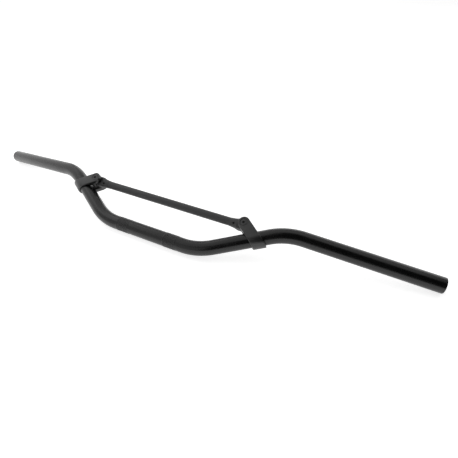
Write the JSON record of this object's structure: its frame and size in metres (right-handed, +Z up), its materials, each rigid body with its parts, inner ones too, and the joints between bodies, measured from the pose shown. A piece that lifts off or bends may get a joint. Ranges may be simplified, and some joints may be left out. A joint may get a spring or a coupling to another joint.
{
  "type": "motorcycle handlebar",
  "caption": "Bent tubular motocross handlebar with raised knurled clamping bands and a bolted cross-brace held by slotted clamps on the two risers.",
  "frame": {"origin": "centre of the outline, on the flat surface that the bar lies on", "axes": "+X along the bar towards its right-hand grip end, +Y from the clamping section towards the cross-brace and the grip ends, +Z up off the surface. On a motorcycle the bar is turned about X so that the risers stand up and the grips point back."},
  "size_m": [0.8264, 0.1088, 0.0548],
  "materials": {
    "satin_black_bar": "satin black anodised",
    "satin_black_brace": "satin black anodised",
    "cast_black_clamp": "matte black paint on a casting",
    "black_oxide_steel": "black oxide",
    "dark_spring_steel": "dark tempered steel"
  },
  "bodies": {
    "root": {"handlebar_tube": "satin_black_bar", "crossbar_tube": "satin_black_brace", "crossbar_end_left": "satin_black_brace", "crossbar_end_right": "satin_black_brace", "spring_pin_left": "dark_spring_steel", "spring_pin_right": "dark_spring_steel", "crossbar_clamp_left": "cast_black_clamp", "crossbar_clamp_right": "cast_black_clamp", "clamp_screw_left": "black_oxide_steel", "clamp_screw_right": "black_oxide_steel"}
  },
  "joints": []
}
